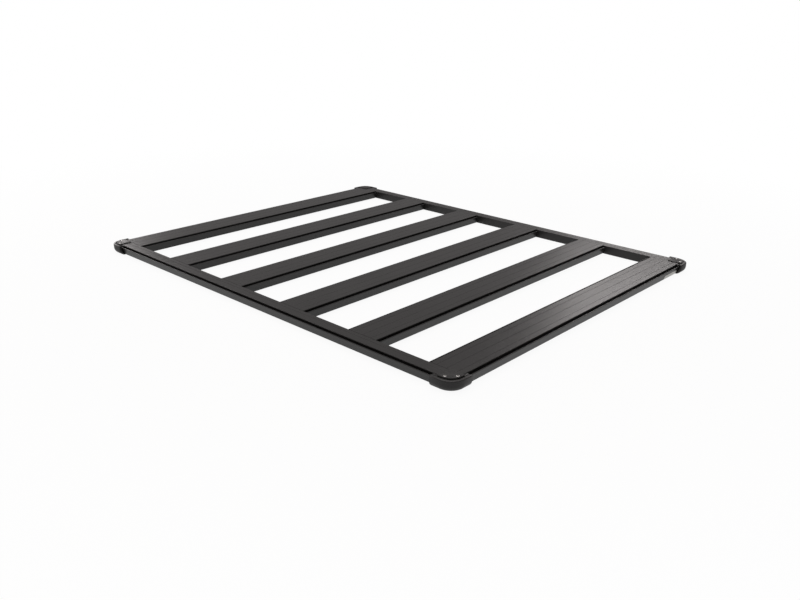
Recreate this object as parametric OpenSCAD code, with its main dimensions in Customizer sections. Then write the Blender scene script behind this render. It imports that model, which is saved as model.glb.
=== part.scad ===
// Flat platform roof rack: two side rails, six planks and four capped corner castings.
// X runs along the rack, towards its rear end. Y runs across it, towards its right side. Z is up.
// The origin is the middle of the rack, at the level of the castings' undersides.

/* [Deck] */
// Distance between the centres of neighbouring planks
plank_pitch = 283; // [200:1:400]
// Width across the outer top edges of the two side rails
deck_width = 1255; // [900:1:1600]
// Width of a plank's flat top
plank_top_w = 98.5; // [80:0.5:140]
// Width of a side rail's flat top
rail_top_w = 39; // [30:0.5:60]

/* [Extrusion section] */
// Depth of rails and planks, from their tops to their undersides
section_depth = 30; // [27:0.5:45]
// Thickness of the top walls
top_wall = 2.8; // [2:0.1:3.6]
// Thickness of the other walls
wall = 2.4; // [1.8:0.1:3]
// How far the lower lip stands out past the top edge
lip_reach = 10.5; // [8:0.5:16]
// How far the lip's edge lies below the deck
lip_drop = 4.25; // [3.5:0.25:7]
// Depth of the edge slot, from the deck to its floor
slot_depth = 14; // [10:0.5:18]
// How far the edge slot reaches in under the top wall
slot_undercut = 3; // [1:0.5:8]
// How far the outer wall leans in from the lip to a plank's underside
wall_lean = 7.5; // [0:0.5:9]
// How far it leans in from the lip to a side rail's underside
rail_wall_lean = 9.5; // [0:0.5:10]
// Radius of the top edges
edge_r = 1.3; // [0.4:0.1:1.6]
// Radius of the lip's outer edge
lip_r = 1.2; // [0.3:0.1:1.5]
// Radius of the lower edges
foot_r = 2; // [1:0.25:3]
// Width of the fine lines drawn along the flat tops
line_w = 1.2; // [0.8:0.1:2]
// Depth of those lines
line_depth = 0.4; // [0.2:0.1:0.8]
// Distance from a plank's middle line to the lines beside it
line_pitch = 30.5; // [20:0.5:34]
// Distance of a rail's line from its inner edge
rail_line_in = 15; // [8:0.5:20]

/* [Underside channel] */
// Width of the channel's mouth
channel_mouth = 9; // [6:0.5:12]
// Width inside the channel
channel_w = 18; // [14:0.5:26]
// Height inside the channel
channel_h = 8; // [5:0.5:10]
// Thickness of the two lips beside the mouth
channel_lip = 3; // [2:0.25:4]

/* [Corner castings] */
// How far a casting reaches along each side from its outermost faces
casting_reach = 73; // [66:0.5:90]
// How far a casting stands out past the lips
casting_wrap = 7.5; // [5:0.25:9]
// How far a casting reaches below the side rails
casting_under = 2.5; // [1:0.25:4]
// Radius of the rack's corners, seen from above
corner_r = 46; // [40:1:55]
// Radius of the casting's lower edge
casting_low_r = 19; // [12:0.5:20]
// Width of the rim that runs round the outside of the groove
rim_w = 8.5; // [6:0.25:9.5]
// How far the rim's top lies below the deck
rim_drop = 0.5; // [0:0.25:1.5]
// Radius of the rim's outer edge
rim_r = 3; // [1:0.25:5]
// Depth of the groove below the rim's top
groove_depth = 3; // [2:0.25:3.5]
// How far the seat under the cap lies below the deck
seat_drop = 1.2; // [0.8:0.1:2]
// How far the rail's end stays inside the casting's outermost end face
rail_end_in = 48; // [45:0.5:56]
// Width of the gap round an extrusion's outer wall where it enters a casting
mouth_gap = 1.5; // [0.5:0.25:2.5]
// Depth of that gap
mouth_depth = 4; // [2:0.5:8]
// Width of the flat rim between the lower edge and the pocket in the underside
pocket_rim = 6; // [5:0.5:8]
// Thickness of the walls between the pocket and the ends of rail and plank
pocket_wall = 5; // [4:0.5:6]
// Radius of the pocket's outer corner
pocket_r = 16; // [4:1:16]
// Thickness left above the pocket
pocket_roof = 8; // [5:0.5:14]

/* [Corner caps] */
// How far a cap stands above the deck
cap_rise = 2.5; // [2:0.25:4]
// How far a cap reaches along each side from the casting's outermost faces
cap_reach = 57.5; // [52:0.5:64]
// How far a cap's edge is set in from the casting's outermost face
cap_inset = 11.5; // [10:0.5:13]
// Radius of a cap's inner corner, seen from above
cap_inner_r = 4; // [1:0.5:20]
// Radius of a cap's top edge
cap_edge_r = 1.5; // [1:0.25:3]

/* [Cap screws] */
// Distance of each screw from the nearer outermost face
screw_near = 20.5; // [18.5:0.5:21]
// Distance of each screw from the farther outermost face
screw_far = 42; // [38:0.5:43]
// Diameter of the head
head_d = 10; // [8:0.5:10.5]
// Height of the head
head_h = 2.3; // [1.5:0.1:2.6]
// How far the head lies below the cap's top
head_sink = 0.3; // [0:0.1:0.8]
// Diameter of the shank
shank_d = 5; // [4:0.5:6]
// Length of the shank
shank_l = 14; // [8:0.5:16]
// Size of the hexagon socket across its flats
socket_af = 4; // [2.5:0.5:5]
// Depth of the hexagon socket
socket_depth = 1.4; // [0.8:0.1:1.4]
// Clearance round the head and the shank
screw_gap = 0.15; // [0.05:0.05:0.3]

/* [Label plate] */
// Length of the plate
label_l = 88; // [40:1:160]
// Height of the plate
label_h = 14; // [8:0.5:16]
// Thickness of the plate
label_t = 0.8; // [0.4:0.1:1.5]
// Gap between the plate and the casting beside it
label_gap = 13; // [1:0.5:20]
// Height of the plate's lower edge above the plank's underside
label_rise = 2; // [2:0.5:6]

/* [Hidden] */
$fn = 48;

plank_count = 6;
// Heights
deck_z = casting_under + section_depth;
cap_z = deck_z - seat_drop;
rim_z = deck_z - rim_drop;
top_z = deck_z + cap_rise;
// Outermost faces of the castings, and the centre of the rounded corner
half_x = plank_pitch * (plank_count - 1) / 2 + plank_top_w / 2 + lip_reach + casting_wrap;
half_y = deck_width / 2 + lip_reach + casting_wrap;
corner_x = half_x - corner_r;
corner_y = half_y - corner_r;
// Side rails and planks
rail_inner_y = deck_width / 2 - rail_top_w;
rail_half_l = half_x - rail_end_in;
plank_lean = wall_lean / (section_depth - lip_drop);
rail_lean = rail_wall_lean / (section_depth - lip_drop);
// Overshoot that makes a cut run past a face
past = 1;

// Points of an arc about a centre, from one angle to another
function arc(c, r, a0, a1, n = 6) =
    [for (i = [0 : n]) let (a = a0 + (a1 - a0) * i / n) c + r * [cos(a), sin(a)]];

// Points of a list in reverse order
function reversed(p) = [for (i = [len(p) - 1 : -1 : 0]) p[i]];

// Points mirrored to the other side of the vertical axis
function flipped(p) = [for (q = reversed(p)) [-q[0], q[1]]];

// Points moved sideways
function moved(p, dx) = [for (q = p) q + [dx, 0]];

// Face of a wall with a given lean at a height below the deck, measured out from the top edge
function outer_face(h, lean) = lip_reach + (h + lip_drop) * lean;

// Edge of an extrusion from its top edge down to its underside: slot, lip, leaning wall and foot.
// The first coordinate is measured out from the top edge and the second up from the deck.
function slotted_edge(lean) = let (slope = sqrt(1 + lean * lean)) concat(
    arc([-edge_r, -edge_r], edge_r, 90, 0),
    [[0, -top_wall],
     [-slot_undercut, -top_wall],
     [-slot_undercut, -slot_depth],
     [outer_face(-slot_depth, lean) - wall, -slot_depth],
     [outer_face(-lip_drop, lean) - wall, -lip_drop]],
    arc([lip_reach - lip_r * (slope + lean), -lip_drop - lip_r], lip_r, 90, -atan(lean)),
    arc([outer_face(-section_depth, lean) - foot_r * (slope - lean), foot_r - section_depth],
        foot_r, -atan(lean), -90));

// A fine line in a flat top, seen from its end
module top_line(x) {
    translate([x, 0])
        polygon([[-line_w / 2, 0], [-line_w / 2, past], [line_w / 2, past], [line_w / 2, 0], [0, -line_depth]]);
}

// Outline of a plank's section, centred, with its top at height 0
module plank_outline() {
    right = moved(slotted_edge(plank_lean), plank_top_w / 2);
    polygon(concat(right, flipped(right)));
}

// Outline of a rail's section, with its inner top edge at the origin and its outer side to the right
module rail_outline() {
    outer = moved(slotted_edge(rail_lean), rail_top_w);
    inner = concat(arc([foot_r, foot_r - section_depth], foot_r, 270, 180), arc([edge_r, -edge_r], edge_r, 180, 90));
    polygon(concat(outer, inner));
}

// Right half of the hollow inside a plank, beside its middle web and the underside channel
module plank_chamber() {
    slot_back = plank_top_w / 2 - slot_undercut - wall;
    shelf = -slot_depth - wall;
    floor_h = wall - section_depth;
    channel_side = channel_w / 2 + wall;
    channel_top = channel_lip + channel_h + wall - section_depth;
    polygon([[wall / 2, -top_wall], [slot_back, -top_wall], [slot_back, shelf],
             [plank_top_w / 2 + outer_face(shelf, plank_lean) - wall, shelf],
             [plank_top_w / 2 + outer_face(floor_h, plank_lean) - wall, floor_h],
             [channel_side, floor_h], [channel_side, channel_top], [wall / 2, channel_top]]);
}

// Hollow inside a side rail
module rail_chamber() {
    slot_back = rail_top_w - slot_undercut - wall;
    shelf = -slot_depth - wall;
    floor_h = wall - section_depth;
    polygon([[wall, -top_wall], [slot_back, -top_wall], [slot_back, shelf],
             [rail_top_w + outer_face(shelf, rail_lean) - wall, shelf],
             [rail_top_w + outer_face(floor_h, rail_lean) - wall, floor_h],
             [wall, floor_h]]);
}

// Channel along the middle of a plank's underside
module plank_channel() {
    translate([-channel_mouth / 2, -section_depth - past])
        square([channel_mouth, channel_lip + past * 2]);
    translate([-channel_w / 2, channel_lip - section_depth])
        square([channel_w, channel_h]);
}

module plank_section() {
    difference() {
        plank_outline();
        plank_chamber();
        mirror([1, 0]) plank_chamber();
        plank_channel();
        for (x = [-line_pitch, 0, line_pitch]) top_line(x);
    }
}

module rail_section() {
    difference() {
        rail_outline();
        rail_chamber();
        top_line(rail_line_in);
    }
}

// Lays a section along Y between the two side rails, at plank number i counted from the front
module along_plank(i) {
    translate([plank_pitch * (i - (plank_count - 1) / 2), rail_inner_y, deck_z])
        rotate([90, 0, 0])
            linear_extrude(rail_inner_y * 2)
                children();
}

// Lays a section along X on the right-hand side of the rack
module along_right_rail() {
    translate([-rail_half_l, rail_inner_y, deck_z])
        rotate([90, 0, 90])
            linear_extrude(rail_half_l * 2)
                children();
}

module plank(i) {
    color("dimgray") along_plank(i) plank_section();
}

module right_rail() {
    color("dimgray") along_right_rail() rail_section();
}

module left_rail() {
    mirror([0, 1, 0]) right_rail();
}

// Moves a piece modelled at the rear right corner to another corner
module at_corner(rear, right) {
    if (rear && right) children();
    if (rear && !right) mirror([0, 1, 0]) children();
    if (!rear && right) mirror([1, 0, 0]) children();
    if (!rear && !right) rotate([0, 0, 180]) children();
}

// Solid with a given side profile all round the rear right corner.
// The profile's first coordinate is measured out from the centre of the rounded corner.
module round_corner(profile, low, high, reach) {
    arm = reach - corner_r;
    inner_x = half_x - reach;
    inner_y = half_y - reach;
    translate([corner_x, corner_y, 0]) rotate_extrude(angle = 90) polygon(profile);
    translate([inner_x, corner_y, 0]) rotate([90, 0, 90]) linear_extrude(arm) polygon(profile);
    translate([corner_x, corner_y, 0]) rotate([90, 0, 0]) linear_extrude(arm) polygon(profile);
    translate([inner_x, inner_y, low]) cube([arm, arm, high - low]);
}

// What a cap's round inner corner takes off the square one
module inner_corner_waste() {
    difference() {
        translate([-past, -past]) square(cap_inner_r + past);
        translate([cap_inner_r, cap_inner_r]) circle(cap_inner_r);
    }
}

// Side profile of a casting: full lower edge, rim, groove and the seat under the cap
function casting_profile() = concat(
    [[0, 0]],
    arc([corner_r - casting_low_r, casting_low_r], casting_low_r, 270, 360, 12),
    arc([corner_r - rim_r, rim_z - rim_r], rim_r, 0, 90),
    [[corner_r - rim_w, rim_z],
     [corner_r - rim_w, rim_z - groove_depth],
     [corner_r - cap_inset, rim_z - groove_depth],
     [corner_r - cap_inset, cap_z],
     [0, cap_z]]);

// Side profile of a cap, with its rounded top edge
function cap_profile() = concat(
    [[0, cap_z], [corner_r - cap_inset, cap_z]],
    arc([corner_r - cap_inset - cap_edge_r, top_z - cap_edge_r], cap_edge_r, 0, 90),
    [[0, top_z]]);

// What the rail and the end plank take out of a casting and its cap
module extrusion_ends() {
    along_right_rail() rail_outline();
    along_plank(plank_count - 1) plank_outline();
}

// Gap round the lip and the outer wall of an extrusion, measured like its slotted edge
module mouth_section(lean) {
    polygon([[outer_face(-section_depth, lean) - wall / 2, -section_depth],
             [outer_face(-section_depth, lean) + mouth_gap, -section_depth],
             [lip_reach + mouth_gap, -lip_drop], [lip_reach + mouth_gap, mouth_gap - lip_drop],
             [lip_reach - wall / 2, mouth_gap - lip_drop]]);
}

// Those gaps where the rail and the end plank enter a casting
module mouths() {
    translate([half_x - casting_reach - past, rail_inner_y + rail_top_w, deck_z])
        rotate([90, 0, 90])
            linear_extrude(mouth_depth + past)
                mouth_section(rail_lean);
    translate([half_x - casting_wrap - lip_reach, half_y - casting_reach + mouth_depth, deck_z])
        rotate([90, 0, 0])
            linear_extrude(mouth_depth + past)
                mouth_section(plank_lean);
}

// Centres of the side screw and the end screw of the rear right corner
function side_screw() = [half_x - screw_far, half_y - screw_near];
function end_screw() = [half_x - screw_near, half_y - screw_far];

// Pocket in a casting's underside, with its outer corner round like the rack's
module casting_pocket() {
    low = [rail_half_l, rail_inner_y] + [1, 1] * pocket_wall;
    high = [half_x, half_y] - [1, 1] * (casting_low_r + pocket_rim);
    translate([0, 0, -past])
        linear_extrude(cap_z - pocket_roof + past)
            polygon(concat([low, [high[0], low[1]]],
                           arc(high - [1, 1] * pocket_r, pocket_r, 0, 90),
                           [[low[0], high[1]]]));
}

module casting() {
    color("dimgray") difference() {
        round_corner(casting_profile(), 0, cap_z, casting_reach);
        extrusion_ends();
        mouths();
        casting_pocket();
        for (p = [side_screw(), end_screw()])
            translate([p[0], p[1], cap_z - shank_l])
                cylinder(h = shank_l + past, d = shank_d + screw_gap * 2);
    }
}

module cap() {
    head_z = top_z - head_sink - head_h;
    color("dimgray") difference() {
        round_corner(cap_profile(), cap_z, top_z, cap_reach);
        translate([half_x - cap_reach, half_y - cap_reach, cap_z - past])
            linear_extrude(top_z)
                inner_corner_waste();
        extrusion_ends();
        for (p = [side_screw(), end_screw()]) {
            translate([p[0], p[1], head_z]) cylinder(h = top_z, d = head_d + screw_gap * 2);
            translate([p[0], p[1], cap_z - past]) cylinder(h = top_z, d = shank_d + screw_gap * 2);
        }
    }
}

module screw(p) {
    head_z = top_z - head_sink - head_h;
    color("silver") translate([p[0], p[1], head_z]) difference() {
        union() {
            cylinder(h = head_h, d = head_d);
            translate([0, 0, -shank_l]) cylinder(h = shank_l + past, d = shank_d);
        }
        translate([0, 0, head_h - socket_depth])
            cylinder(h = socket_depth + past, d = socket_af / cos(30), $fn = 6);
    }
}

// Plate with one round end, flat on the leaning wall of the rear plank
module label_plate() {
    lean_angle = atan(plank_lean);
    face_h = label_rise + label_h / 2 * cos(lean_angle) - section_depth;
    face_x = half_x - casting_wrap - lip_reach + outer_face(face_h, plank_lean);
    right_end = half_y - casting_reach - label_gap;
    color("lightgray") translate([face_x, right_end - label_l, deck_z + face_h]) rotate([0, lean_angle, 0]) {
        translate([0, label_h / 2, -label_h / 2]) cube([label_t, label_l - label_h / 2, label_h]);
        translate([0, label_h / 2, 0]) rotate([0, 90, 0]) cylinder(h = label_t, d = label_h);
    }
}

left_rail();
right_rail();
plank(0);  // front_plank
plank(1);  // plank_2
plank(2);  // plank_3
plank(3);  // plank_4
plank(4);  // plank_5
plank(5);  // rear_plank
at_corner(false, false) casting();  // front_left_casting
at_corner(false, true) casting();  // front_right_casting
at_corner(true, false) casting();  // rear_left_casting
at_corner(true, true) casting();  // rear_right_casting
at_corner(false, false) cap();  // front_left_cap
at_corner(false, true) cap();  // front_right_cap
at_corner(true, false) cap();  // rear_left_cap
at_corner(true, true) cap();  // rear_right_cap
at_corner(false, false) screw(side_screw());  // front_left_side_screw
at_corner(false, false) screw(end_screw());  // front_left_end_screw
at_corner(false, true) screw(side_screw());  // front_right_side_screw
at_corner(false, true) screw(end_screw());  // front_right_end_screw
at_corner(true, false) screw(side_screw());  // rear_left_side_screw
at_corner(true, false) screw(end_screw());  // rear_left_end_screw
at_corner(true, true) screw(side_screw());  // rear_right_side_screw
at_corner(true, true) screw(end_screw());  // rear_right_end_screw
label_plate();
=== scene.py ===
# %% [markdown]
# # A flat roof rack, finished in Blender
# The rack is an open frame of extruded aluminium: two side rails, six cross planks and four cast
# corners, all in satin black powder coat. Its construction comes ready made, as fixed solids in real
# metres. This lesson gives it its finish, models the parts that a close look needs, and photographs it.
# We begin by loading the solids.

# %% Load the rack
import math

import bmesh
import bpy
from mathutils import Matrix, Vector


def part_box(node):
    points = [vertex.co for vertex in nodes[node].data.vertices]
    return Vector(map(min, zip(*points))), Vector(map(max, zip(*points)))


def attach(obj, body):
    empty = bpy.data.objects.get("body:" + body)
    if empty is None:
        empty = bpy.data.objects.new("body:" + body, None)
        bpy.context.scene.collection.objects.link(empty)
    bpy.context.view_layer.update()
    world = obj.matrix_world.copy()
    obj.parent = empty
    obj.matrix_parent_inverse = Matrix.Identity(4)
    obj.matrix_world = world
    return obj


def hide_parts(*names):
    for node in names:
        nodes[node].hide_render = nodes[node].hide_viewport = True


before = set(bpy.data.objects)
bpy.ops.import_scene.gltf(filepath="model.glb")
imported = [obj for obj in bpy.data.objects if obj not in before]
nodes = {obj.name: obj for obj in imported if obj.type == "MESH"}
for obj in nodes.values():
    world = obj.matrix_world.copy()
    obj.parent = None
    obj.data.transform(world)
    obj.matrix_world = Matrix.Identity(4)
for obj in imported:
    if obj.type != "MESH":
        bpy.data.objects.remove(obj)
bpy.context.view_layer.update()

# %% [markdown]
# Every part has a name, so the sizes that the finish needs are read from the parts themselves. The deck
# is the level of the planks' tops, and the pitch is the distance from one plank to the next. If the rack
# is ever built at another size, these values follow it.

# %% Sizes that the parts give
MM = 0.001
PLANKS = ["front_plank", "plank_2", "plank_3", "plank_4", "plank_5", "rear_plank"]
RAILS = ["left_rail", "right_rail"]
CORNERS = ["front_left", "front_right", "rear_left", "rear_right"]


def middle(node):
    low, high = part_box(node)
    return (low + high) / 2


deck_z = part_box("rear_plank")[1].z
plank_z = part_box("rear_plank")[0].z
pitch = middle("plank_2").x - middle("front_plank").x
print("deck at", round(deck_z / MM, 1), "mm, pitch", round(pitch / MM, 1), "mm")

# %% [markdown]
# ## Powder coat
# Powder coat is a baked paint: here a warm black, satin, and never quite flat. The powder melts into
# soft dimples a millimetre or two across, with a finer grain on top. On an extrusion faint lines also
# run along its length, left by the die. Dimples could be sculpted, but a bump texture costs no faces
# and holds up close. One function makes the finish, and a stretched noise turns spots into die lines.

# %% A helper for shader nodes
def add_node(tree, kind, **settings):
    """Adds a shader node, sets its properties and, for names of sockets, their values."""
    node = tree.nodes.new(kind)
    for name, value in settings.items():
        if hasattr(node, name):
            setattr(node, name, value)
        else:
            node.inputs[name.replace("_", " ")].default_value = value
    return node


def noise(tree, place, scale, detail=2.0, stretch=None):
    """Noise on the object's own coordinates, in spots per metre. stretch gives each axis its scale."""
    if stretch is not None:
        squeeze = add_node(tree, "ShaderNodeMapping", Scale=stretch)
        tree.links.new(place, squeeze.inputs["Vector"])
        place = squeeze.outputs["Vector"]
    texture = add_node(tree, "ShaderNodeTexNoise", Scale=scale, Detail=detail)
    tree.links.new(place, texture.inputs["Vector"])
    return texture.outputs["Fac"]


def bump(tree, height, strength, distance, below=None):
    """Relief from a height, on top of the relief below it."""
    relief = add_node(tree, "ShaderNodeBump", Strength=strength, Distance=distance)
    tree.links.new(height, relief.inputs["Height"])
    if below is not None:
        tree.links.new(below, relief.inputs["Normal"])
    return relief.outputs["Normal"]


# %% The powder coat material
WARMTH = (1.04, 1.00, 0.975)
CLOUD_SPOTS = 7.0
DIMPLE_SPOTS = 650.0
GRAIN_SPOTS = 2600.0
DIE_LINES = 420.0
DIE_RUN = 1.5
GLOSS_SPREAD = 0.05


def powder_coat(name, tone, roughness, gloss_level=0.5, die_axis=None):
    """Satin black paint. tone is its grey, die_axis the direction of the die lines: 0 for X, 1 for Y."""
    material = bpy.data.materials.new(name)
    material.use_nodes = True
    tree = material.node_tree
    shader = tree.nodes["Principled BSDF"]
    shader.inputs["Specular IOR Level"].default_value = gloss_level
    place = add_node(tree, "ShaderNodeTexCoord").outputs["Object"]

    clouds = noise(tree, place, CLOUD_SPOTS, detail=3.0)
    tint = add_node(tree, "ShaderNodeValToRGB")
    for stop, position, share in zip(tint.color_ramp.elements, (0.3, 0.7), (0.85, 1.15)):
        stop.position = position
        stop.color = [tone * share * warm for warm in WARMTH] + [1]
    tree.links.new(clouds, tint.inputs["Fac"])
    tree.links.new(tint.outputs["Color"], shader.inputs["Base Color"])

    grain = noise(tree, place, GRAIN_SPOTS)
    least, most = roughness - GLOSS_SPREAD, roughness + GLOSS_SPREAD
    gloss = add_node(tree, "ShaderNodeMapRange", To_Min=least, To_Max=most)
    tree.links.new(grain, gloss.inputs["Value"])
    tree.links.new(gloss.outputs["Result"], shader.inputs["Roughness"])

    dimples = noise(tree, place, DIMPLE_SPOTS)
    normal = bump(tree, dimples, strength=0.12, distance=0.4 * MM)
    normal = bump(tree, grain, strength=0.05, distance=0.1 * MM, below=normal)
    if die_axis is not None:
        stretch = [DIE_LINES, DIE_LINES, DIE_LINES]
        stretch[die_axis] = DIE_RUN
        lines = noise(tree, place, 1.0, stretch=stretch)
        normal = bump(tree, lines, strength=0.35, distance=0.3 * MM, below=normal)
    tree.links.new(normal, shader.inputs["Normal"])
    return material


plank_coat = powder_coat("powder_coat_planks", 0.015, 0.30, die_axis=1)
rail_coat = powder_coat("powder_coat_rails", 0.015, 0.30, die_axis=0)
cast_coat = powder_coat("powder_coat_castings", 0.013, 0.38)
cap_coat = powder_coat("powder_coat_caps", 0.013, 0.45, gloss_level=0.42)
print("coats:", plank_coat.name, rail_coat.name, cast_coat.name, cap_coat.name)


# %% Paint the extrusions
def paint(obj, material):
    """Puts one material in every slot of an object."""
    if not obj.material_slots:
        obj.data.materials.append(material)
    for slot in obj.material_slots:
        slot.material = material


for name in PLANKS:
    paint(nodes[name], plank_coat)
for name in RAILS:
    paint(nodes[name], rail_coat)

# %% [markdown]
# ## Modelling by hand, in code
# The corners and fittings get a finer shape than their plain solids have. Each is modelled as in the
# window: add a primitive, go into edit mode, choose faces or edges, and run an operator on them. What
# the mouse would choose is chosen here by place or direction. Every piece begins with nothing else
# selected, because an operator acts on all that is.

# %% Helpers for choosing
def start_clean():
    """Object mode, with nothing selected."""
    if bpy.context.object and bpy.context.object.mode != "OBJECT":
        bpy.ops.object.mode_set(mode="OBJECT")
    bpy.ops.object.select_all(action="DESELECT")


def pick(piece):
    """Makes one piece the selected and active one."""
    start_clean()
    piece.select_set(True)
    bpy.context.view_layer.objects.active = piece


def choose(piece, kind, test):
    """In edit mode, leaves selected only the verts, edges or faces that pass a test."""
    bpy.ops.mesh.select_mode(type=kind)
    bpy.ops.mesh.select_all(action="DESELECT")
    cage = bmesh.from_edit_mesh(piece.data)
    chosen = [part for part in {"EDGE": cage.edges, "FACE": cage.faces}[kind] if test(part)]
    for part in chosen:
        part.select_set(True)
    bmesh.update_edit_mesh(piece.data)
    return len(chosen)


def centre_of(part):
    """The middle of an edge or a face."""
    return sum((vert.co for vert in part.verts), Vector()) / len(part.verts)


def upright(edge):
    return abs((edge.verts[0].co - edge.verts[1].co).normalized().z) > 0.9


def smooth(piece, degrees=35):
    """Soft shading, with every edge sharper than the angle kept crisp."""
    pick(piece)
    bpy.ops.object.shade_smooth_by_angle(angle=math.radians(degrees))


def settle(piece, node):
    """Lets a finished piece stand for its solid."""
    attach(piece, "root")
    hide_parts(node)


# %% [markdown]
# ## Corner castings
# Each casting wraps the end of a rail and a plank in one rounded piece. It is sand-cast and then linished,
# so no edge on it is sharp. Its solid already has the true form, inside and out. Modelling it again would
# only repeat that, so the finish is worked on a copy: its loose triangles are merged, flat areas are
# dissolved back to whole faces, and a bevel modifier breaks every hard edge.

# %% Break the castings' edges
EDGE_BREAK = 0.45 * MM


def soften(node, name, width):
    """A copy of a solid with its hard edges broken."""
    piece = bpy.data.objects.new(name, nodes[node].data.copy())
    bpy.context.scene.collection.objects.link(piece)
    pick(piece)
    bpy.ops.mesh.customdata_custom_splitnormals_clear()
    bpy.ops.object.mode_set(mode="EDIT")
    bpy.ops.mesh.select_all(action="SELECT")
    bpy.ops.mesh.remove_doubles(threshold=0.002 * MM)
    bpy.ops.mesh.dissolve_limited(angle_limit=math.radians(0.4))
    bpy.ops.object.mode_set(mode="OBJECT")
    bevel = piece.modifiers.new("edge_break", "BEVEL")
    bevel.width = width
    bevel.segments = 2
    bevel.limit_method = "ANGLE"
    bevel.angle_limit = math.radians(35)
    bpy.ops.object.modifier_apply(modifier=bevel.name)
    smooth(piece)
    return piece


for corner in CORNERS:
    casting = soften(corner + "_casting", corner + "_casting_shell", EDGE_BREAK)
    paint(casting, cast_coat)
    settle(casting, corner + "_casting")
    print(casting.name, len(casting.data.polygons), "faces")

# %% [markdown]
# ## Corner caps
# A square cap with one big round corner closes each casting from above. A cube is only its start: one
# upright edge is bevelled to the big radius, the edge opposite to a small one, and then the rim of the
# top face is rounded over. Two bores are sunk for the screw heads, with a boolean modifier each, and
# their rims are broken like the castings' edges. The cap is made once, at the rear right corner. A
# quarter turn brings it to each of the others, because it looks the same from both of its sides.

# %% Model one cap
BIG_RADIUS = 34.5 * MM
SMALL_RADIUS = 4.0 * MM
RIM_RADIUS = 1.6 * MM

low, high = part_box("rear_right_cap")
cap_middle = (low + high) / 2
start_clean()
bpy.ops.mesh.primitive_cube_add(size=1, location=cap_middle)
first_cap = bpy.context.object
first_cap.name = "rear_right_cap_cover"
first_cap.scale = high - low
bpy.ops.object.transform_apply(location=True, rotation=True, scale=True)



def outermost(edge):
    away = centre_of(edge) - cap_middle
    return upright(edge) and away.x > 0 and away.y > 0


def innermost(edge):
    away = centre_of(edge) - cap_middle
    return upright(edge) and away.x < 0 and away.y < 0


bpy.ops.object.mode_set(mode="EDIT")
choose(first_cap, "EDGE", outermost)
bpy.ops.mesh.bevel(offset=BIG_RADIUS, segments=20, affect="EDGES")
choose(first_cap, "EDGE", innermost)
bpy.ops.mesh.bevel(offset=SMALL_RADIUS, segments=6, affect="EDGES")
rim = choose(first_cap, "EDGE", lambda e: min(vert.co.z for vert in e.verts) > high.z - 0.01 * MM)
bpy.ops.mesh.bevel(offset=RIM_RADIUS, segments=5, affect="EDGES")
start_clean()
print("cap rim:", rim, "edges, then", len(first_cap.data.polygons), "faces")

# %% Sink the bores for the screw heads
HEAD_HEIGHT = 2.3 * MM
HEAD_GAP = 0.15 * MM
BORE_BREAK = 0.3 * MM
ROUND_SIDES = 48


def cut_away(piece, tool):
    """Cuts the tool's shape out of the piece, and puts the tool away."""
    pick(piece)
    cut = piece.modifiers.new("cut", "BOOLEAN")
    cut.operation = "DIFFERENCE"
    cut.object = tool
    bpy.ops.object.modifier_apply(modifier=cut.name)
    bpy.data.objects.remove(tool)


for name in ("rear_right_side_screw", "rear_right_end_screw"):
    low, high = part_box(name)
    bore_radius = (high.x - low.x) / 2 + HEAD_GAP
    start_clean()
    bpy.ops.mesh.primitive_cylinder_add(
        vertices=ROUND_SIDES,
        radius=bore_radius,
        depth=2 * HEAD_HEIGHT,
        location=((low.x + high.x) / 2, (low.y + high.y) / 2, high.z),
    )
    cut_away(first_cap, bpy.context.object)
pick(first_cap)
rim_break = first_cap.modifiers.new("rim_break", "BEVEL")
rim_break.width = BORE_BREAK
rim_break.segments = 2
rim_break.limit_method = "ANGLE"
rim_break.angle_limit = math.radians(50)
bpy.ops.object.modifier_apply(modifier=rim_break.name)
smooth(first_cap)
paint(first_cap, cap_coat)
print("cap with bores:", len(first_cap.data.polygons), "faces")

# %% Copy the cap to the other corners
QUARTERS = {"rear_right": 0, "front_right": 1, "front_left": 2, "rear_left": 3}


def turned(place, degrees):
    """A turn about the upright axis, and then a move to a place."""
    return Matrix.Translation(place) @ Matrix.Rotation(math.radians(degrees), 4, "Z")


for corner, quarters in QUARTERS.items():
    cap = first_cap
    if quarters:
        cap = bpy.data.objects.new(corner + "_cap_cover", first_cap.data.copy())
        bpy.context.scene.collection.objects.link(cap)
        to_corner = turned(middle(corner + "_cap"), 90 * quarters)
        cap.data.transform(to_corner @ Matrix.Translation(-cap_middle))
    settle(cap, corner + "_cap")

# %% [markdown]
# ## Bright metal
# Two stainless screws hold every cap, and a bare silver plate sits on the last plank. Metal has no
# colour of its own under the shine, so what matters is how rough it is and in which direction.

# %% Steel and silver
SCRATCHES = 2500.0
BRUSH_RUN = 40.0
SHINE_SPREAD = 0.06


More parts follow.
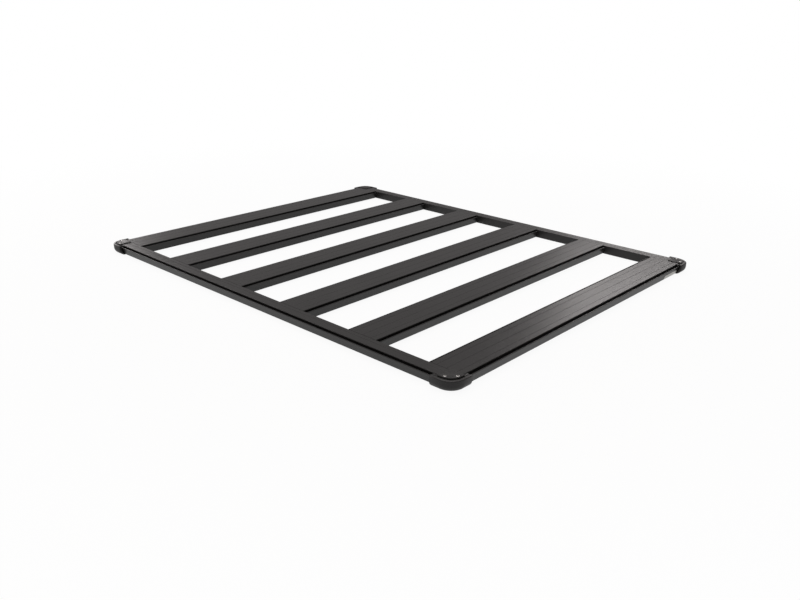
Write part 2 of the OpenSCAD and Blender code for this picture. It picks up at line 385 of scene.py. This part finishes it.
def bright_metal(name, colour, roughness, brush_axis=None):
    """Bare metal with fine scratches, along one axis if it is brushed."""
    material = bpy.data.materials.new(name)
    material.use_nodes = True
    tree = material.node_tree
    shader = tree.nodes["Principled BSDF"]
    shader.inputs["Metallic"].default_value = 1.0
    place = add_node(tree, "ShaderNodeTexCoord").outputs["Object"]
    stretch = [SCRATCHES, SCRATCHES, SCRATCHES]
    if brush_axis is not None:
        stretch[brush_axis] = BRUSH_RUN
    grain = noise(tree, place, 1.0, stretch=stretch)
    shade = add_node(tree, "ShaderNodeValToRGB")
    shade.color_ramp.elements[0].color = [c * 0.9 for c in colour] + [1]
    shade.color_ramp.elements[1].color = list(colour) + [1]
    tree.links.new(grain, shade.inputs["Fac"])
    tree.links.new(shade.outputs["Color"], shader.inputs["Base Color"])
    least, most = roughness - SHINE_SPREAD, roughness + SHINE_SPREAD
    gloss = add_node(tree, "ShaderNodeMapRange", To_Min=least, To_Max=most)
    tree.links.new(grain, gloss.inputs["Value"])
    tree.links.new(gloss.outputs["Result"], shader.inputs["Roughness"])
    relief = bump(tree, grain, strength=0.08, distance=0.05 * MM)
    tree.links.new(relief, shader.inputs["Normal"])
    return material


steel = bright_metal("stainless_steel", (0.70, 0.69, 0.67), 0.25)
silver = bright_metal("silver_plate", (0.66, 0.65, 0.62), 0.38, brush_axis=1)

# %% [markdown]
# ## Button-head screws
# A button head is a low dome with a hexagon socket. A cylinder gives the blank. Its upper rim is rounded
# over in one wide bevel, which makes the dome, and its lower face is inset and extruded into the shank.
# The socket is cut with a six-sided prism, the way a broach would press it. One screw is modelled at the
# origin and copied to eight places, each turned a little differently, as a hand leaves them.

# %% Model one screw
DOME = 1.5 * MM
SHANK_RADIUS = 2.5 * MM
SOCKET_WIDTH = 4.0 * MM
SOCKET_DEPTH = 1.4 * MM

low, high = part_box("rear_right_side_screw")
head_radius = (high.x - low.x) / 2
screw_length = high.z - low.z
start_clean()
bpy.ops.mesh.primitive_cylinder_add(vertices=ROUND_SIDES, radius=head_radius, depth=HEAD_HEIGHT)
first_screw = bpy.context.object
bpy.ops.object.mode_set(mode="EDIT")
choose(first_screw, "EDGE", lambda e: not upright(e) and centre_of(e).z > 0)
bpy.ops.mesh.bevel(offset=DOME, segments=6, affect="EDGES")
choose(first_screw, "FACE", lambda f: f.normal.z < -0.9)
bpy.ops.mesh.inset(thickness=head_radius - SHANK_RADIUS)
bpy.ops.mesh.extrude_region_move(TRANSFORM_OT_translate={"value": (0, 0, HEAD_HEIGHT - screw_length)})
start_clean()

bpy.ops.mesh.primitive_cylinder_add(
    vertices=6,
    radius=SOCKET_WIDTH / math.sqrt(3),
    depth=2 * SOCKET_DEPTH,
    location=(0, 0, HEAD_HEIGHT / 2),
)
cut_away(first_screw, bpy.context.object)
smooth(first_screw)
paint(first_screw, steel)
print("screw:", len(first_screw.data.polygons), "faces,", round(screw_length / MM, 1), "mm long")

# %% Copy the screw to its eight places
HAND_TURN = 23.0

screws = [name for name in sorted(nodes) if name.endswith("screw")]
for number, name in enumerate(screws):
    low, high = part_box(name)
    place = Vector(((low.x + high.x) / 2, (low.y + high.y) / 2, high.z - HEAD_HEIGHT / 2))
    screw = bpy.data.objects.new(name + "_steel", first_screw.data.copy())
    bpy.context.scene.collection.objects.link(screw)
    screw.data.transform(turned(place, HAND_TURN * number))
    settle(screw, name)
bpy.data.objects.remove(first_screw)
print("screws:", len(screws))

# %% [markdown]
# ## The label plate
# A thin bare plate lies on the leaning outer wall of the last plank. One end is half round and the other
# has small rounded corners. A cube of the plate's size has its short edges bevelled, wide at one end and
# narrow at the other. Its face is then inset and pushed in a little, which leaves a fine raised border,
# and last the whole plate leans back with the wall.

# %% Model the plate
PLATE_LEAN = math.atan(7.5 / 25.75)
PLATE_HEIGHT = 14.0 * MM
PLATE_THICKNESS = 0.8 * MM
END_RADIUS = 6.9 * MM
CORNER_RADIUS = 1.5 * MM
BORDER = 0.9 * MM
SUNK = 0.15 * MM

low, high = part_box("label_plate")
start_clean()
bpy.ops.mesh.primitive_cube_add(size=1)
plate = bpy.context.object
plate.name = "label_plate_silver"
plate.scale = (PLATE_THICKNESS, high.y - low.y, PLATE_HEIGHT)
bpy.ops.object.transform_apply(location=True, rotation=True, scale=True)
bpy.ops.object.mode_set(mode="EDIT")


def across(edge):
    return abs((edge.verts[0].co - edge.verts[1].co).normalized().x) > 0.9


choose(plate, "EDGE", lambda e: across(e) and centre_of(e).y < 0)
bpy.ops.mesh.bevel(offset=END_RADIUS, segments=12, affect="EDGES")
choose(plate, "EDGE", lambda e: across(e) and centre_of(e).y > (high.y - low.y) / 2 - MM)
bpy.ops.mesh.bevel(offset=CORNER_RADIUS, segments=4, affect="EDGES")
choose(plate, "FACE", lambda f: f.normal.x > 0.9)
bpy.ops.mesh.inset(thickness=BORDER, depth=0)
bpy.ops.mesh.inset(thickness=SUNK, depth=-SUNK)
start_clean()
pick(plate)
plate.rotation_euler = (0, PLATE_LEAN, 0)
plate.location = (low + high) / 2
bpy.ops.object.transform_apply(location=True, rotation=True, scale=True)
smooth(plate)
paint(plate, silver)
settle(plate, "label_plate")
print("plate:", len(plate.data.polygons), "faces")

# %% [markdown]
# ## The studio
# The rack lies on a pale floor that runs on to a white horizon. The camera sees the floor white. Whatever
# mirrors it sees the floor's glow weaker, as painted shade for the rack's half shadow on the floor beside
# it:
# the leaning walls of a black rack get most of their brightness from that mirrored floor. For the light
# that falls on the rack the floor is plain white paint in a dim room, so that black paint stays black. The
# floor keeps part of its own shading, and with it the shadow. It lies a hair below the castings, because
# two faces in one plane would flicker.

# %% Helpers for mixing light
def combine(tree, operation, one, other):
    """Two outputs put together by a sum, such as MAXIMUM or MULTIPLY."""
    node = add_node(tree, "ShaderNodeMath", operation=operation)
    tree.links.new(one, node.inputs[0])
    tree.links.new(other, node.inputs[1])
    return node.outputs["Value"]


def mix(tree, share, one, other):
    """One shader, with a share of another in its place."""
    node = add_node(tree, "ShaderNodeMixShader")
    tree.links.new(share, node.inputs["Fac"])
    tree.links.new(one, node.inputs[1])
    tree.links.new(other, node.inputs[2])
    return node.outputs["Shader"]


def white_rays(tree):
    """1 for the rays of the camera, of reflections and of glass, and 0 for the light on matt surfaces."""
    ray = add_node(tree, "ShaderNodeLightPath").outputs
    mirrored = combine(tree, "MAXIMUM", ray["Is Glossy Ray"], ray["Is Transmission Ray"])
    return combine(tree, "MAXIMUM", ray["Is Camera Ray"], mirrored)


# %% Floor
FLOOR_SIZE = 60.0
FLOOR_GAP = 0.2 * MM
FLOOR_GREY = (0.86, 0.86, 0.86, 1)
WHITE = (1, 1, 1, 1)
# Strength of the floor's glow in reflections: below white, as painted shade for the rack's half shadow on
# the floor beside it.
MIRRORED_WHITE_PAINTED_SHADE = 0.60

start_clean()
bpy.ops.mesh.primitive_plane_add(size=FLOOR_SIZE, location=(0, 0, -FLOOR_GAP))
bpy.ops.object.transform_apply(location=True, rotation=True, scale=True)
floor = bpy.context.object
floor.name = "studio_floor"
floor_paint = bpy.data.materials.new("floor_paint")
floor_paint.use_nodes = True
tree = floor_paint.node_tree
tree.nodes.clear()
matt = add_node(tree, "ShaderNodeBsdfDiffuse", Color=FLOOR_GREY)
glow = add_node(tree, "ShaderNodeEmission", Color=WHITE)
camera_ray = add_node(tree, "ShaderNodeLightPath").outputs["Is Camera Ray"]
# Camera rays see the glow at full white, reflections at the lower strength, which paints the floor's
# shade.
white = add_node(tree, "ShaderNodeMapRange", To_Min=MIRRORED_WHITE_PAINTED_SHADE, To_Max=1.0)
tree.links.new(camera_ray, white.inputs["Value"])
tree.links.new(white.outputs["Result"], glow.inputs["Strength"])

# %% [markdown]
# Far from the rack the lamps fall off, and the floor would turn grey towards the horizon. So the share of
# its own glow grows from the rack outwards, by the distance from the middle, until it is all white.

# %% Floor glow by distance
NEAR_GLOW = 0.93
NEAR_EDGE = 0.9
FAR_EDGE = 2.4

distance = add_node(tree, "ShaderNodeVectorMath", operation="LENGTH")
tree.links.new(add_node(tree, "ShaderNodeTexCoord").outputs["Object"], distance.inputs[0])
spread = add_node(
    tree,
    "ShaderNodeMapRange",
    From_Min=NEAR_EDGE,
    From_Max=FAR_EDGE,
    To_Min=NEAR_GLOW,
    To_Max=1.0,
)
tree.links.new(distance.outputs["Value"], spread.inputs["Value"])
share = combine(tree, "MULTIPLY", white_rays(tree), spread.outputs["Result"])
from_above = mix(tree, share, matt.outputs["BSDF"], glow.outputs["Emission"])

# %% [markdown]
# Someone who wants to see the rack's underside has to look through the floor. So it is clear to a camera
# that looks at it from below, and only to the camera: for light and shadow it stays whole.

# %% Clear from below
clear = add_node(tree, "ShaderNodeBsdfTransparent")
backfacing = add_node(tree, "ShaderNodeNewGeometry").outputs["Backfacing"]
looking_up = combine(tree, "MULTIPLY", backfacing, camera_ray)
surface = mix(tree, looking_up, from_above, clear.outputs["BSDF"])
result = add_node(tree, "ShaderNodeOutputMaterial")
tree.links.new(surface, result.inputs["Surface"])
paint(floor, floor_paint)
print("floor:", FLOOR_SIZE, "m wide")

# %% [markdown]
# The sky behind the floor is white to the camera and through glass. In reflections it stays the dim room:
# the planks' level tops mirror the room above the horizon, and in the photograph they are dark grey there,
# bright only where they catch a soft box.

# %% World
ROOM_LIGHT = 0.32
ROOM_COLOUR = (1.0, 0.96, 0.955, 1)

world = bpy.data.worlds.new("studio_world")
bpy.context.scene.world = world
world.use_nodes = True
tree = world.node_tree
tree.nodes.clear()
seen = add_node(tree, "ShaderNodeBackground", Color=WHITE, Strength=1.0)
room = add_node(tree, "ShaderNodeBackground", Color=ROOM_COLOUR, Strength=ROOM_LIGHT)
ray = add_node(tree, "ShaderNodeLightPath").outputs
straight = combine(tree, "MAXIMUM", ray["Is Camera Ray"], ray["Is Transmission Ray"])
sky = mix(tree, straight, room.outputs["Background"], seen.outputs["Background"])
result = add_node(tree, "ShaderNodeOutputWorld")
tree.links.new(sky, result.inputs["Surface"])
print("room light:", ROOM_LIGHT)

# %% [markdown]
# Four soft boxes light the rack. The big one overhead makes the even light. Two stand behind it, a small
# one to the right and a tall one to the left, where the deck reflects them to the camera: they draw the
# bright sheen on the far ends of the planks and rails. A weak one in front of the left end opens the
# shadows on that side. Each stands five metres off, and is placed by its bearing round the rack and its
# rise above the floor.

# %% Lamps
LAMP_COLOUR = (1.0, 0.955, 0.945)
BOX_DISTANCE = 5.0
OVERHEAD_HEIGHT = 4.0


def soft_box(name, place, target, width, height, watts):
    """A rectangular area lamp that faces a point."""
    data = bpy.data.lights.new(name, "AREA")
    data.shape = "RECTANGLE"
    data.size = width
    data.size_y = height
    data.energy = watts
    data.color = LAMP_COLOUR
    lamp = bpy.data.objects.new(name, data)
    lamp.location = place
    aim = Vector(target) - Vector(place)
    lamp.rotation_euler = aim.to_track_quat("-Z", "Y").to_euler()
    bpy.context.scene.collection.objects.link(lamp)
    return lamp


def standing_box(name, bearing, rise, width, height, watts):
    """A soft box beside the rack. bearing is in degrees from +Y towards -X, rise in degrees from level."""
    turn = math.radians(bearing)
    lift = math.radians(rise)
    place = Vector((-math.sin(turn) * math.cos(lift), math.cos(turn) * math.cos(lift), math.sin(lift)))
    return soft_box(name, place * BOX_DISTANCE, (0, 0, 0), width, height, watts)


overhead = soft_box("overhead_box", (0, 0, OVERHEAD_HEIGHT), (0, 0, 0), width=4.0, height=4.0, watts=100)
right_box = standing_box("right_rear_box", bearing=15, rise=25, width=1.2, height=0.9, watts=13.5)
left_box = standing_box("left_rear_box", bearing=80, rise=18, width=1.1, height=2.2, watts=32)
fill_box = standing_box("left_fill_box", bearing=130, rise=18, width=1.1, height=2.2, watts=26)
print("lamps:", overhead.name, right_box.name, left_box.name, fill_box.name)

# %% [markdown]
# ## The camera
# The photograph was taken from the rear left, looking down at the rack. Its lens and place come from the
# rack's own straight lines, which a camera shows in only one perspective. They are given here as
# a position, a heading, a tilt and a slight roll, and the picture's centre lies a little beside the axis.

# %% Camera
CAMERA_PLACE = Vector((1.7748, -1.9582, 0.8446 + deck_z))
HEADING = math.radians(42.829)
TILT = math.radians(21.252)
ROLL = math.radians(0.905)
PICTURE_WIDTH = 800
FOCAL_PIXELS = 800.57
CENTRE_RIGHT = 14.69
CENTRE_UP = 0.50

ahead = Vector((-math.sin(HEADING), math.cos(HEADING), 0))
level = Vector((math.cos(HEADING), math.sin(HEADING), 0))
forward = ahead * math.cos(TILT) - Vector((0, 0, math.sin(TILT)))
right = level * math.cos(ROLL) + level.cross(forward) * math.sin(ROLL)
up = right.cross(forward)
camera_data = bpy.data.cameras.new("photo_camera")
camera_data.sensor_width = 36.0
camera_data.lens = camera_data.sensor_width * FOCAL_PIXELS / PICTURE_WIDTH
camera_data.shift_x = CENTRE_RIGHT / PICTURE_WIDTH
camera_data.shift_y = CENTRE_UP / PICTURE_WIDTH
camera_data.clip_end = 200.0
camera = bpy.data.objects.new("photo_camera", camera_data)
bpy.context.scene.collection.objects.link(camera)
facing = Matrix((right, up, -forward)).transposed().to_4x4()
camera.matrix_world = Matrix.Translation(CAMERA_PLACE) @ facing
bpy.context.scene.camera = camera
bpy.context.scene.view_settings.view_transform = "Standard"
print("lens:", round(camera_data.lens, 2), "mm")
